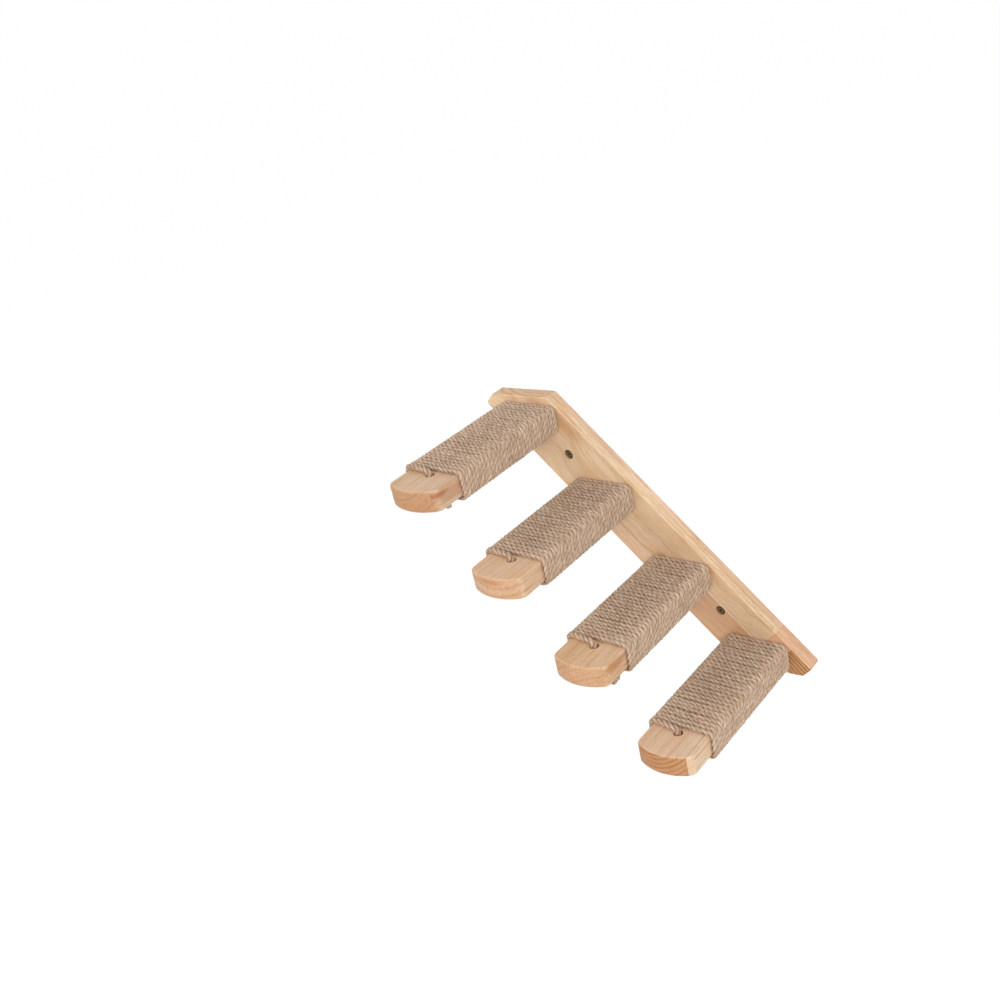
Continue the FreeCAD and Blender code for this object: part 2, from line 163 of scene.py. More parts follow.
# %% Tail of the rope
NOSE_HOLE = 183.8 * MM
TAIL_ROUND = 6.7 * MM
TAIL_LIFT = 0.4 * MM
LEAVE_SLOPE, REACH_SLOPE = 0.7, 1.3
HOLE_BEND = 9 * MM
MOUTH_LEFT, MOUTH_BACK = 1.2 * MM, 0.4 * MM
EXIT_RIGHT = 0.4 * MM
TAIL_SLANT = 3.3 * MM
TAILS = {1: ((17, 190), (22, 192), (26.2, 194)), 2: ((17, 189.7), (23, 191.9)),
         3: ((17, 189.4), (23.5, 189.2), (27.2, 189.6), (27.6, 200)), 4: ((17, 189.7), (24, 192.2))}


def tail(step, lead):
    """Leads the rope from its last turn through the nose and along the underside."""
    wide, high = wound_section(step)[2:]
    lifted = high + (TAIL_ROUND - ROPE_THICK) / 2 + TAIL_LIFT
    slope = (NOSE_HOLE - LAST_TURN) / wide
    lead(BEND_RUN - wide, LAST_TURN + LEAVE_SLOPE * slope * BEND_RUN, lifted)
    lead(-MOUTH_LEFT - HOLE_BEND, NOSE_HOLE - REACH_SLOPE * slope * HOLE_BEND, lifted)
    lead(-MOUTH_LEFT, NOSE_HOLE - MOUTH_BACK, lifted)
    lead(-MOUTH_LEFT, NOSE_HOLE - MOUTH_BACK, high - HOLE_BEND)
    lead(EXIT_RIGHT, NOSE_HOLE, HOLE_BEND - high)
    lead(EXIT_RIGHT, NOSE_HOLE, -high)
    lead(HOLE_BEND, NOSE_HOLE + TAIL_SLANT, -high)
    for x, depth in TAILS[step]:
        lead(x * MM, depth * MM, -high)


def rope_route(step):
    """The points that the rope of one step is led by, and where its tail begins."""
    middle_x, middle_z = wound_section(step)[:2]
    hand = np.random.default_rng(40 + step)
    route = []

    def lead(x, depth, z, slack=0.0):
        # A loose point takes two draws, and the first one moves it along the plank.
        loose = hand.normal(0, slack, 2)[0] if slack else 0.0
        route.append((middle_x + x, -(depth + loose), middle_z + z))

    winding(step, lead)
    tail_from = len(route)
    tail(step, lead)
    return route, tail_from


print("points on the route of step 1:", len(rope_route(1)[0]))

# %% [markdown]
# Blender draws the smooth line that those points lead as a NURBS curve, which
# passes close to them and rounds the corners. A curve with no thickness turns
# into a mesh that is only a row of points, and the strands are then built
# round that row.

# %% The line of each rope
SAME_PLACE = 0.0001 * MM


def rope_line(step):
    """Points along the middle of the rope, and the first one of its tail."""
    route, tail_from = rope_route(step)
    curve = bpy.data.curves.new("rope_line", "CURVE")
    curve.dimensions = "3D"
    spline = curve.splines.new("NURBS")
    spline.points.add(len(route) - 1)
    for point, place in zip(spline.points, route):
        point.co = (*place, 1)
    spline.order_u = 3
    spline.use_endpoint_u = True
    spline.resolution_u = 9
    line = bpy.data.objects.new("rope_line", curve)
    bpy.context.scene.collection.objects.link(line)
    bpy.context.view_layer.update()
    row = bpy.data.meshes.new_from_object(line.evaluated_get(bpy.context.evaluated_depsgraph_get()))
    points = np.array([v.co for v in row.vertices])
    bpy.data.meshes.remove(row)
    bpy.data.objects.remove(line)
    bpy.data.curves.remove(curve)
    gaps = np.linalg.norm(np.diff(points, axis=0), axis=1)
    points = points[np.concatenate(([True], gaps > SAME_PLACE))]
    return points, int(len(points) * tail_from / len(route))


line_points, tail_start = rope_line(1)
print("points along the rope:", len(line_points), "tail from", tail_start)

# %% [markdown]
# Three strands are laid round each other, one full turn in about 20 mm, to
# the right, as most rope is. Modelling three separate tubes would hide half
# of their faces inside the rope, so one skin with three lobes is swept along
# the line and turned as it goes. Rope is never even, so its twist and the
# thickness of each strand drift a little along the way.

# %% Section of the rope
ROPE_LAY = 19.8 * MM
ROUND = 24
STRANDS = 3
STRAND_RADIUS, STRAND_AWAY = 0.64, 0.36


def lobes():
    """Angles round the rope, the radius there, and how near the crown of a strand it is, 1 at the crown."""
    turn = np.arange(ROUND) * 2 * math.pi / ROUND
    half = math.pi / STRANDS
    off = (turn + half) % (2 * half) - half
    radius = STRAND_AWAY * np.cos(off) + np.sqrt(STRAND_RADIUS ** 2 - (STRAND_AWAY * np.sin(off)) ** 2)
    return turn, radius, 1 - np.abs(off) / half


def slow_noise(places, step_length, seed):
    """Smooth noise along the rope, between about -1 and 1."""
    knots = np.random.default_rng(seed).uniform(-1, 1, int(places[-1] / step_length) + 3)
    at = places / step_length
    part = at - np.floor(at)
    part = part * part * (3 - 2 * part)
    first = np.floor(at).astype(int)
    return knots[first] * (1 - part) + knots[first + 1] * part


def strand_noise(places, step_length, seed):
    """Smooth noise of its own for each strand."""
    return np.stack([slow_noise(places, step_length, seed + k) for k in range(STRANDS)], axis=1)


print("radius in a crease, of 1 at a crown:", round(lobes()[1].min(), 2))

# %% [markdown]
# To sweep a section, every point of the line needs to know which way is ahead
# and which way is out of the wood. Out is away from the core of the plank
# while the rope is wound, and in the tail each point takes it over from the
# one before. Against the wood the rope is pressed a little flat, and in the
# tail it is free and round.

# %% Directions along the rope
CORE_INSET = 5 * MM
FREE_RUN = 3 * MM


def rope_frame(step):
    """Points along the rope, their lengths, the ways ahead and out, and how free the rope is, 0 to 1."""
    points, tail_from = rope_line(step)
    middle_x, middle_z, wide, high = wound_section(step)
    along = np.concatenate(([0], np.cumsum(np.linalg.norm(np.diff(points, axis=0), axis=1))))
    ahead = np.gradient(points, axis=0)
    ahead /= np.linalg.norm(ahead, axis=1)[:, None]
    core = points.copy()
    core[:, 0] = np.clip(points[:, 0], middle_x - wide + CORE_INSET, middle_x + wide - CORE_INSET)
    core[:, 2] = np.clip(points[:, 2], middle_z - high + CORE_INSET, middle_z + high - CORE_INSET)
    out = points - core
    for i in range(len(points)):
        if i >= tail_from:
            out[i] = out[i - 1]
        out[i] -= ahead[i] * (out[i] @ ahead[i])
        out[i] /= np.linalg.norm(out[i])
    free = 0.5 + 0.5 * np.tanh((along - along[tail_from]) / (2 * FREE_RUN))
    return points, along, ahead, out, free


print("the rope of step 1 is", round(rope_frame(1)[1][-1], 2), "m long")

# %% [markdown]
# Now the skin can be swept. The outer side of the wound rope is worn a little
# smoother than the rest. Three numbers go on the mesh for the finish: how far
# a point is from the crease between two strands, the tone of its strand, and
# how far it faces out of the winding, raised in the tail and on the plank's
# sides. The finish uses the first and the last to paint shade into the creases
# and into the hollows. A map holds the place along the rope and round it.

# %% Skin of the rope
SLOW_TWIST, SLOW_TWIST_RUN = 0.5, 140 * MM
QUICK_TWIST, QUICK_TWIST_RUN = 0.09, 23 * MM
SWELL, SWELL_RUN = 0.08, 9 * MM
TONE_RUN = 35 * MM
WORN = 0.4
TAIL_SHOWN, SIDE_LIGHT = 0.5, 0.3
LAY_MAP_SCALE = 10


def keep_number(mesh, name, values):
    """Stores one number for every point of a mesh."""
    kept = mesh.attributes.new(name, "FLOAT", "POINT")
    kept.data.foreach_set("value", values.astype(np.float32).ravel())


def lay_map(mesh, along, angle):
    """Maps a rope by the place along it and the turn round it, which goes on where a ring closes."""
    count = len(along)
    corner = np.zeros(len(mesh.loops), np.int32)
    mesh.loops.foreach_get("vertex_index", corner)
    length_at = np.repeat(along, ROUND)
    turned_at = (angle / (2 * math.pi)).reshape(-1)
    uv = np.stack([length_at[corner] * LAY_MAP_SCALE, turned_at[corner]], axis=1)
    closing = np.repeat(np.arange(ROUND) == ROUND - 1, 4) & np.tile([False, True, True, False], ROUND)
    wrapped = np.zeros(len(mesh.loops), bool)
    wrapped[:(count - 1) * ROUND * 4] = np.tile(closing, count - 1)
    uv[wrapped, 1] += 1
    mesh.uv_layers.new(name="lay").data.foreach_set("uv", uv.astype(np.float32).ravel())


def rope_skin(step):
    """The mesh object of one rope, and the rope's length."""
    points, along, ahead, out, free = rope_frame(step)
    beside = np.cross(ahead, out)
    count = len(points)
    tall = (ROPE_THICK + (TAIL_ROUND - ROPE_THICK) * free) / 2
    broad = (ROPE_WIDE + (TAIL_ROUND - ROPE_WIDE) * free) / 2
    turn, radius, crown = lobes()
    slow = SLOW_TWIST * slow_noise(along, SLOW_TWIST_RUN, step)
    quick = QUICK_TWIST * slow_noise(along, QUICK_TWIST_RUN, 10 + step)
    twist = 2 * math.pi * (along / ROPE_LAY + slow + quick)
    angle = turn[None, :] + twist[:, None]
    outward = np.cos(angle)
    strand_of = np.round(turn / (2 * math.pi / STRANDS)).astype(int) % STRANDS
    swell = strand_noise(along, SWELL_RUN, 100 * step)[:, strand_of]
    worn = WORN * np.clip(outward, 0, 1) * (1 - free)[:, None]
    size = (1 - (1 - radius[None, :]) * (1 - worn)) * (1 + SWELL * swell * crown[None, :])
    skin = (points[:, None, :]
            + (size * outward * tall[:, None])[:, :, None] * out[:, None, :]
            + (size * np.sin(angle) * broad[:, None])[:, :, None] * beside[:, None, :])
    ring = np.arange(ROUND)
    after = (ring + 1) % ROUND
    base = (np.arange(count - 1) * ROUND)[:, None]
    quads = np.stack([base + ring, base + after, base + ROUND + after, base + ROUND + ring], axis=2)
    faces = [tuple(quad) for quad in quads.reshape(-1, 4).tolist()]
    faces.append(tuple(reversed(range(ROUND))))
    faces.append(tuple(range((count - 1) * ROUND, count * ROUND)))
    mesh = bpy.data.meshes.new(f"rope_{step}")
    mesh.from_pydata(skin.reshape(-1, 3).tolist(), [], faces)
    lay_map(mesh, along, angle)
    keep_number(mesh, "crest", np.tile(crown, count))
    tones = strand_noise(along, TONE_RUN, 500 * step)[:, strand_of]
    keep_number(mesh, "strand_tone", 0.5 + 0.5 * tones)
    # The last number sets how little painted shade a hollow gets: more of it stays off in the tail, and on
    # the plank's sides, where the light reaches into the hollows.
    facing_side = np.abs(out[:, 0]) * (1 - free)
    unshaded = outward * (1 - free)[:, None] + (TAIL_SHOWN * free + SIDE_LIGHT * facing_side)[:, None]
    keep_number(mesh, "outward", unshaded)
    mesh.polygons.foreach_set("use_smooth", np.ones(len(mesh.polygons), bool))
    mesh.update()
    rope = bpy.data.objects.new(f"rope_{step}", mesh)
    bpy.context.scene.collection.objects.link(rope)
    return rope, along[-1]


ropes = []
for step in range(1, 5):
    rope, length = rope_skin(step)
    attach(rope, "root")
    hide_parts(f"rope_winding_{step}")
    ropes.append(rope)
    print(rope.name, "is", round(length, 2), "m long with", len(rope.data.polygons), "faces")

# %% [markdown]
# Every finish below is a small graph of nodes. Written out link by link such
# a graph is hard to read, so a value in it is wrapped in a class that knows
# plus, minus, times and so on, and each of those adds the Math node for it.

# %% A value in a graph
class Value:
    """A number that varies over a surface."""

    def __init__(self, finish, socket):
        self.finish = finish
        self.socket = socket

    def __add__(self, other):
        return self.finish.math("ADD", self, other)

    def __sub__(self, other):
        return self.finish.math("SUBTRACT", self, other)

    def __rsub__(self, other):
        return self.finish.math("SUBTRACT", other, self)

    def __mul__(self, other):
        return self.finish.math("MULTIPLY", self, other)

    def __pow__(self, other):
        return self.finish.math("POWER", self, other)

    def __lt__(self, other):
        return self.finish.math("LESS_THAN", self, other)

    def __abs__(self):
        return self.finish.math("ABSOLUTE", self)

    __radd__ = __add__
    __rmul__ = __mul__

    def ramp(self, low, high):
        """0 below low, 1 above high, and a smooth rise between them."""
        made = self.finish.node("ShaderNodeMapRange", {"interpolation_type": "SMOOTHSTEP"},
                                {"Value": self, "From Min": low, "From Max": high})
        return Value(self.finish, made.outputs[0])


print("values can be added and multiplied")

# %% [markdown]
# All other nodes come from one method, which sets a node's settings first and
# then its sockets. A socket takes a plain number, a value or another node's
# socket. A Mix node has its sockets for every kind of data in one row, so the
# ones for colours are picked by their place.

# %% A material under construction
FIRST_COLOUR, SECOND_COLOUR, MIXED_COLOUR = 6, 7, 2


class Finish:
    """A material under construction."""

    def __init__(self, name):
        self.material = bpy.data.materials.new(name)
        self.material.use_nodes = True
        self.tree = self.material.node_tree
        self.shader = self.tree.nodes["Principled BSDF"]

    def node(self, kind, settings=None, sockets=None):
        made = self.tree.nodes.new(kind)
        for key, setting in (settings or {}).items():
            setattr(made, key, setting)
        for key, given in (sockets or {}).items():
            self.feed(made.inputs[key], given)
        return made

    def feed(self, socket, given):
        given = given.socket if isinstance(given, Value) else given
        if isinstance(given, bpy.types.NodeSocket):
            self.tree.links.new(given, socket)
        else:
            socket.default_value = given

    def math(self, operation, *numbers):
        made = self.node("ShaderNodeMath", {"operation": operation}, dict(enumerate(numbers)))
        return Value(self, made.outputs[0])

    def place(self, turn=(0, 0, 0), middle=(0, 0, 0), stretch=(1, 1, 1)):
        """Object coordinates, moved so that middle is the origin, turned and stretched."""
        coordinates = self.node("ShaderNodeTexCoord").outputs["Object"]
        moved = self.node("ShaderNodeVectorMath", {"operation": "SUBTRACT"}, {0: coordinates, 1: middle})
        return self.node("ShaderNodeMapping", {"vector_type": "POINT"},
                         {"Vector": moved.outputs[0], "Rotation": turn, "Scale": stretch}).outputs[0]

    def parts(self, vector):
        made = self.node("ShaderNodeSeparateXYZ", {}, {0: vector})
        return [Value(self, socket) for socket in made.outputs]

    def vector(self, x, y, z):
        return self.node("ShaderNodeCombineXYZ", {}, {0: x, 1: y, 2: z}).outputs[0]

    def noise(self, vector, scale, detail=2, roughness=0.5):
        made = self.node("ShaderNodeTexNoise", {}, {
            "Vector": vector, "Scale": scale, "Detail": detail, "Roughness": roughness})
        return Value(self, made.outputs["Fac"])

    def mix(self, part, first, second, blend="MIX"):
        made = self.node("ShaderNodeMix", {"data_type": "RGBA", "blend_type": blend}, {
            "Factor": part, FIRST_COLOUR: first, SECOND_COLOUR: second})
        return made.outputs[MIXED_COLOUR]

    def shaded(self, part, base, red, green, blue):
        """The base colour, multiplied by another where part is 1."""
        return self.mix(part, base, (red, green, blue, 1), "MULTIPLY")

    def bump(self, height, distance, strength):
        return self.node("ShaderNodeBump", {}, {
            "Height": height, "Distance": distance, "Strength": strength}).outputs[0]

    def finish(self, colour, roughness, normal, **constants):
        self.feed(self.shader.inputs["Base Color"], colour)
        self.feed(self.shader.inputs["Roughness"], roughness)
        self.feed(self.shader.inputs["Normal"], normal)
        for key, given in constants.items():
            self.shader.inputs[key.replace("_", " ")].default_value = given
        return self.material


def wear(piece, material):
    """Puts a material in every slot of a piece."""
    if not piece.material_slots:
        piece.data.materials.append(material)
    for held in piece.material_slots:
        held.material = material


def linear(level):
    """One part of a colour, as a picture holds it from 0 to 255, for a shader."""
    return ((level / 255 + 0.055) / 1.055) ** 2.4 if level > 10 else level / 255 / 12.92


def colour(red, green, blue):
    """A colour as a picture shows it, for a shader."""
    return linear(red), linear(green), linear(blue), 1


print("finishes can be written now")

# %% [markdown]
# The planks and the board are a pale plantation hardwood, in places glued up
# from narrower staves, under a thin satin varnish. A picture of wood could be
# laid on the faces, but then the grain would not meet at the edges. Instead
# the finish is solid: a ring of growth is a distance from a line that runs
# along the grain, so the same few rings make long streaks on the top of a
# plank and arcs on its rounded nose, as in a real piece. Finer figures are
# noise that is drawn out along the fibres. Cut across the fibres, wood drinks
# more varnish, so the ends are deeper in colour.

# %% Wood finish
GRAIN_RELIEF = 0.1 * MM
STAVE_SHIFT = 0.173
SEAM_FROM, SEAM_TO = 0.1 * MM, 0.7 * MM


def stave_reach(f, spot, low, high):
    """How far a spot lies outside a stave, negative inside it."""
    reach = -1.0
    for place, start, end in zip(spot, low, high):
        reach = f.math("MAXIMUM", reach, abs(place - (start + end) / 2) - (end - start) / 2)
    return reach


def wood(name, middle, turn, stretch, order, grain, staves, pith, lean=0.0, start=0.0, fine=0.55,
         wave=0.012, ripple=(5, 16), calm=(0.0, 1.0), knots=()):
    """Solid wood. Order picks along, across and through from the turned coordinates, and grain
    is the direction of the fibres. A stave has its two corners, its tone, the width and the
    strength of its rings and how dark its cut ends are; the first one is the whole piece.
    Start picks another length of the same log, and fine is the strength of its thin lines.
    Wave is how far its layers wander sideways, ripple is how often they do so along and across,
    and calm is how that changes through the piece: its slope, and its level at 0.
    A knot is any soft tinted patch, with its place, how fast it fades each way, its strength
    and its tint; a tint above 1 lightens, and on the board one such patch is painted light."""
    f = Finish(name)
    turned = f.parts(f.place(turn, middle, stretch))
    along, across, through = spot = [turned[i] for i in order]
    base, ring_width, depth, thirst = staves[0][2:]
    often, shift, seam = 1 / ring_width, 0.0, 0.0
    for number, (low, high, tone, width, strength, drink) in enumerate(staves[1:], start=1):
        reach = stave_reach(f, spot, low, high)
        inside = reach < 0.0
        base = f.mix(inside, base, tone)
        shift = inside * (STAVE_SHIFT * number) + shift
        often = inside * (1 / width - often) + often
        depth = inside * (strength - depth) + depth
        thirst = inside * (drink - thirst) + thirst
        seam = f.math("MAXIMUM", seam, 1 - abs(reach).ramp(SEAM_FROM, SEAM_TO))
    moved = along + shift + start
    sway = f.noise(f.vector(moved * ripple[0], across * ripple[1] + shift, through * 16), 1.0, 2) - 0.5
    side = across + along * lean + sway * wave * (through * calm[0] + calm[1]) + shift * 0.11
    layer = through + sway * 0.005

    def figure(length, width, detail, roughness=0.5, offset=0.0):
        """Noise with so many spots in a metre along the fibres and across them."""
        return f.noise(f.vector(moved * length, side * width, layer * width + offset), 1.0, detail, roughness)

    growth = f.math("SQRT", (side - pith[0]) ** 2 + (layer - pith[1]) ** 2)
    ring = (f.math("SINE", growth * often * (2 * math.pi)) * 0.5 + 0.5).ramp(0.35, 1.0)
    uneven = f.noise(f.vector(moved * 2.5, growth * 160, shift), 1.0, 2).ramp(0.3, 0.62)
    broad = figure(8, 36, 1)
    blush = figure(13, 70, 2)
    glow = figure(9, 42, 1, offset=5)
    streak = figure(7, 260, 2, 0.6)
    line = figure(10, 620, 1)
    fibre = figure(45, 1500, 1)
    pore = figure(150, 1900, 0).ramp(0.66, 0.76)
    facing = f.node("ShaderNodeVectorMath", {"operation": "DOT_PRODUCT"}, {
        0: f.node("ShaderNodeNewGeometry").outputs["Normal"], 1: grain}).outputs["Value"]
    cut = abs(Value(f, facing)).ramp(0.35, 0.95)
    end = cut * thirst
    base = f.shaded(broad.ramp(0.4, 0.66) * 0.45, base, 0.94, 0.86, 0.77)
    base = f.shaded(blush.ramp(0.5, 0.68) * 0.4, base, 0.98, 0.88, 0.80)
    base = f.shaded(glow.ramp(0.5, 0.7) * 0.6, base, 1.0, 0.97, 0.84)
    base = f.shaded(glow.ramp(0.5, 0.3) * 0.5, base, 1.0, 0.94, 0.91)
    base = f.shaded(ring * uneven * depth * (cut * 0.7 + 0.3), base, 0.78, 0.61, 0.46)
    base = f.shaded(ring.ramp(0.3, 0.9) * (depth - 1.2), base, 0.46, 0.36, 0.28)
    base = f.shaded(streak.ramp(0.5, 0.68) * 0.55, base, 0.90, 0.80, 0.69)
    base = f.shaded(line.ramp(0.54, 0.66) * fine, base, 0.80, 0.69, 0.58)
    base = f.shaded(fibre.ramp(0.5, 0.75) * 0.3, base, 0.86, 0.78, 0.70)
    base = f.shaded(pore * 0.5, base, 0.66, 0.53, 0.42)
    base = f.shaded(end, base, 0.70, 0.50, 0.33)
    base = f.shaded(seam * 0.7, base, 0.76, 0.64, 0.53)
    for place, fade, strength, tint in knots:
        away = f.node("ShaderNodeVectorMath", {"operation": "DISTANCE"}, {
            0: f.vector(along * fade[0], across * fade[1], through * fade[2]),
            1: tuple(v * r for v, r in zip(place, fade))}).outputs["Value"]
        near = 1 - (Value(f, away) + (streak - 0.5) * 1.2).ramp(0.25, 1.0)
        base = f.shaded(near * strength, base, *tint)
    rough = 0.46 + fibre * 0.1 + pore * 0.1 + end * 0.06
    relief = fibre * 0.4 - pore - line * 0.4 + ring * 0.2
    return f.finish(base, rough, f.bump(relief, GRAIN_RELIEF, 0.6), Specular_IOR_Level=0.42)


print("wood can be cut now")

# %% [markdown]
# Each plank comes from another length of the log, with its own pith line and
# rings. Three of the noses have reddish, resinous marks, and the lowest one
# has dark arcs on its end and a pale stave along its right side.

# %% Planks
ALL = ((-1, -1, -1), (1, 1, 1))
RESIN = (0.74, 0.50, 0.33)
STEP_WOOD = {
    1: dict(staves=[(*ALL, colour(220, 189, 161), 0.0060, 0.5, 0.8)],
            pith=(-0.020, 0.055), start=0.4, fine=0.7,
            knots=[((0.207, 0.031, 0.0062), (62, 150, 210), 0.95, RESIN),
                   ((0.193, 0.0315, 0.003), (28, 110, 80), 0.6, RESIN)]),
    2: dict(staves=[(*ALL, colour(225, 193, 162), 0.0085, 0.5, 0.36)],
            pith=(0.014, 0.070), lean=0.05, start=1.1, fine=0.7,
            knots=[((0.2185, -0.004, 0.0068), (30, 40, 190), 0.6, RESIN)]),
    3: dict(staves=[(*ALL, colour(221, 187, 153), 0.0060, 0.35, 0.5)],
            pith=(0.03, -0.06), start=2.3, fine=0.85,
            knots=[((0.198, 0.031, 0.0045), (45, 110, 130), 0.85, RESIN)]),
    4: dict(staves=[(*ALL, colour(226, 197, 170), 0.0050, 1.0, 1.0),
                    ((-1, 0.0262, -1), (1, 1, 1), colour(229, 200, 169), 0.0090, 0.15, 0.12)],
            pith=(-0.012, 0.046)),
}
for step, look in STEP_WOOD.items():
    low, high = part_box(f"step_plank_{step}")
    middle = ((low.x + high.x) / 2, 0, (low.z + high.z) / 2)
    plank_wood = wood(f"step_wood_{step}", middle, turn=(0, 0, 0), stretch=(1, -1, 1), order=(1, 0, 2),
                      grain=(0, 1, 0), **look)
    wear(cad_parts[f"step_plank_{step}"], plank_wood)
print("planks:", len(STEP_WOOD))

# %% [markdown]
# The board's fibres run along its slant, so its coordinates are turned by 45
# degrees first. It is glued up from several staves: most of it is pale, the
# lower part of its front is redder, the rear half of its long edge is pinker,
# and a short dark piece is finger-jointed on at the low end. Its layers
# wander more than a plank's, which gives the lively figure on its front, and
# they calm down towards its back. Two resinous marks lie on its front and two
# pale streaks along its edge. A third pale patch on its front is painted light:
# the brighter light on the board just above a step.

# %% Board finish
# PALE lightens: it gives two streaks along the edge, and one patch of painted light on the front.
PALE = (1.19, 1.27, 1.37)
BOARD_STAVES = [
    (*ALL, colour(230, 200, 165), 0.0075, 1.15, 0.15),
    ((0.060, -1, -1), (1, 0.005, 1), colour(214, 171, 133), 0.0075, 0.5, 0.2),
    ((0.060, 0.005, -1), (1, 0.0085, -0.012), colour(238, 211, 184), 0.0075, 0.2, 0.2),
    ((-0.070, -1, -1), (0.060, -0.016, 1), colour(230, 199, 169), 0.0060, 0.4, 0.2),
    ((-1, 0.0085, -0.009), (0.1728, 1, 1), colour(230, 195, 163), 0.0050, 0.4, 0.2),
    ((0.1728, 0.0085, -1), (1, 1, 1), colour(228, 184, 148), 0.0042, 0.5, 0.3),
    ((0.1960, 0.0085, -1), (1, 0.0335, -0.0150), colour(202, 154, 107), 0.0042, 2.0, 0.3)]
BOARD_MARKS_AND_LIGHT = [
    ((0.035, -0.005, -0.018), (70, 150, 60), 0.7, RESIN),
    ((-0.134, 0.026, -0.018), (40, 90, 60), 0.5, RESIN),
    # Painted light: a pale patch for the brighter light on the board just above a step.
    ((-0.080, 0.016, -0.018), (20, 50, 130), 1.0, PALE),
    ((-0.03, 0.035, -0.0115), (3.1, 110, 150), 0.9, PALE),
    ((-0.025, 0.035, -0.0045), (14, 110, 120), 0.9, PALE)]
board_wood = wood(
    "board_wood", middle=(0, 0, 0), turn=(0, math.radians(-45), 0), stretch=(1, 1, 1), order=(0, 2, 1),
    grain=(math.sqrt(0.5), 0, -math.sqrt(0.5)), staves=BOARD_STAVES, pith=(0.012, 0.03), lean=0.05,
    start=3.7, fine=0.5, wave=0.06, ripple=(12, 5), calm=(-40, 0.28), knots=BOARD_MARKS_AND_LIGHT)
wear(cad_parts["backboard"], board_wood)
print("board staves:", len(BOARD_STAVES))

# %% [markdown]
# Jute is dull and greyish tan. Each strand is a bundle of fibres, which run
# nearly along the rope, because the strands are twisted one way and laid
# together the other way. The fibres are drawn on the map that was made with
# the skin, along the rope and round it. Shade is painted into the creases,
# each strand changes tone a little along its way, and the hollows between two
# turns get painted shade, made patchy by noise, most where the rope faces into
# the winding and least on the plank's sides.

# %% Rope finish
FIBRE_RELIEF = 0.22 * MM
f = Finish("jute")
lay = f.parts(f.node("ShaderNodeUVMap", {"uv_map": "lay"}).outputs[0])
crest, tone, outward = [Value(f, f.node("ShaderNodeAttribute", {"attribute_name": kept}).outputs["Fac"])
                        for kept in ("crest", "strand_tone", "outward")]
fibre = f.noise(f.vector(lay[0] * 16, lay[1] * 34, 0.0), 1.0, 3, 0.7)
hair = f.noise(f.vector(lay[0] * 30, lay[1] * 90, 4.0), 1.0, 2, 0.6)
yarn = f.noise(f.vector(lay[0] * 9, lay[1] * 11, 8.0), 1.0, 2, 0.6)
patch = f.noise(f.place(), 28.0, 2)
speck = f.noise(f.place(), 170.0, 1)
base = f.mix(tone, colour(193, 166, 141), colour(217, 191, 167))
base = f.shaded(yarn.ramp(0.5, 0.66) * 0.8, base, 0.78, 0.70, 0.63)
base = f.mix(yarn.ramp(0.46, 0.3) * 0.75, base, colour(235, 215, 193))
base = f.shaded(fibre.ramp(0.4, 0.75) * 0.55, base, 0.80, 0.74, 0.68)
base = f.shaded(hair.ramp(0.55, 0.75) * 0.4, base, 0.74, 0.66, 0.58)
base = f.mix(hair.ramp(0.42, 0.28) * 0.5, base, colour(230, 210, 187))
base = f.shaded(patch.ramp(0.35, 0.7) * 0.3, base, 0.92, 0.86, 0.80)
# Painted shade: darker in the creases between two strands, where shade falls.
base = f.shaded((1 - crest.ramp(0.0, 0.42)) * 0.85, base, 0.58, 0.47, 0.385)
# Painted shade in the hollows between two turns, made patchy by noise.
hollow_shade = (1 - outward.ramp(0.15, 0.82)) * (1 - crest * 0.92)
shade_breakup = patch * 0.7 + speck.ramp(0.3, 0.7) * 0.5 + 0.3
base = f.shaded(hollow_shade * shade_breakup, base, 0.42, 0.305, 0.23)
jute = f.finish(base, 0.86 + hair * 0.1, f.bump(fibre * 0.7 + hair, FIBRE_RELIEF, 0.8),
                Specular_IOR_Level=0.2, Sheen_Weight=0.15, Sheen_Roughness=0.5)
for rope in ropes:
    wear(rope, jute)
print("ropes finished:", len(ropes))

# %% [markdown]
# The two wall screws carry the whole ladder, and behind the board their
# thread can be seen. The solid has a plain rod there. A thread could be drawn
# in the finish, but its outline would stay straight, so the screw is made
# again. One point is extruded to half an outline and spun round the axis, and
# two tapered bars cut the cross in the head.

# %% Body of a wall screw
HEAD_TOP = -17
POINT_FROM, POINT = 30.5, 36.0
SCREW_OUTLINE = (
    (0, HEAD_TOP), (2.8, HEAD_TOP), (3.7, -16.85), (4.4, -16.45), (4.85, -15.85), (5, -15.2), (5, -14.3),
    (4.8, -14), (2.0, -14), (2.0, 1.0), (1.6, 1.6), (1.6, POINT_FROM), (0.9, 34), (0.3, 35.6), (0, POINT))
SCREW_SIDES = 40
CROSS_BAR = (4.2, 3.4, 1.1)
CROSS_TAPER = (0.5, 1, 0.75)


def drawn(name, outline):
    """Extrudes one point along an outline of (radius, depth) in millimetres, and stays in edit mode."""
    bpy.ops.object.select_all(action="DESELECT")
    bpy.ops.mesh.primitive_plane_add(size=MM)
    piece = bpy.context.object
    piece.name = name
    bpy.ops.object.mode_set(mode="EDIT")
    bpy.ops.mesh.merge(type="CENTER")
    bpy.ops.transform.translate(value=(outline[0][0] * MM, outline[0][1] * MM, 0))
    for (r0, d0), (r1, d1) in zip(outline, outline[1:]):
        move = ((r1 - r0) * MM, (d1 - d0) * MM, 0)
        bpy.ops.mesh.extrude_region_move(TRANSFORM_OT_translate={"value": move})
    bpy.ops.mesh.select_all(action="SELECT")
    return piece


def closed_up(holes=0):
    """Merges doubles, fills small holes, turns the faces outwards and leaves edit mode."""
    bpy.ops.mesh.select_all(action="SELECT")
    bpy.ops.mesh.remove_doubles(threshold=0.002 * MM)
    if holes:
        bpy.ops.mesh.fill_holes(sides=holes)
    bpy.ops.mesh.normals_make_consistent(inside=False)
    bpy.ops.object.mode_set(mode="OBJECT")


